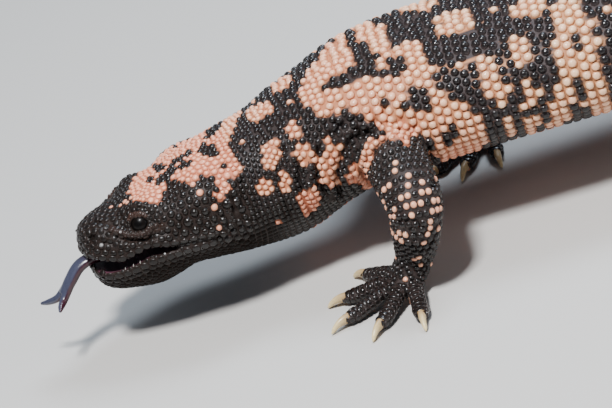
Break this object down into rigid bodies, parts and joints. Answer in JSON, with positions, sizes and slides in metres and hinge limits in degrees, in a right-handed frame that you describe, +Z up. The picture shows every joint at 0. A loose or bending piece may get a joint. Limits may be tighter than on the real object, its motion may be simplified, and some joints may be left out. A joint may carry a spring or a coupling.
{
  "type": "gila_monster",
  "caption": "A life-size Gila monster standing on all four legs, beaded in black and salmon pink, its forked tongue out and its thick tail on the floor",
  "frame": {"origin": "the middle of the base of the whole model's box, on the floor that the feet and the tail stand on", "axes": "-X is the way the head points, -Y is the animal's left side, +Z is up"},
  "size_m": [0.4702, 0.1916, 0.0723],
  "materials": {
    "beaded_skin": "painted beads in salmon pink and black, half gloss",
    "tongue_skin": "wet, dark maroon with a blue-grey side",
    "eye": "polished, nearly black",
    "claw": "yellowish ivory horn, half gloss"
  },
  "bodies": {
    "root": {"head": "beaded_skin", "lower_jaw": "beaded_skin", "tongue": "tongue_skin", "eye_left": "eye", "eye_right": "eye", "neck": "beaded_skin", "trunk_front": "beaded_skin", "trunk_rear": "beaded_skin", "tail_base": "beaded_skin", "tail_middle": "beaded_skin", "tail_tip": "beaded_skin", "left_fore_upper_arm": "beaded_skin", "left_fore_forearm": "beaded_skin", "left_fore_foot": "beaded_skin", "right_fore_upper_arm": "beaded_skin", "right_fore_forearm": "beaded_skin", "right_fore_foot": "beaded_skin", "left_hind_thigh": "beaded_skin", "left_hind_shin": "beaded_skin", "left_hind_foot": "beaded_skin", "right_hind_thigh": "beaded_skin", "right_hind_shin": "beaded_skin", "right_hind_foot": "beaded_skin"}
  },
  "joints": []
}
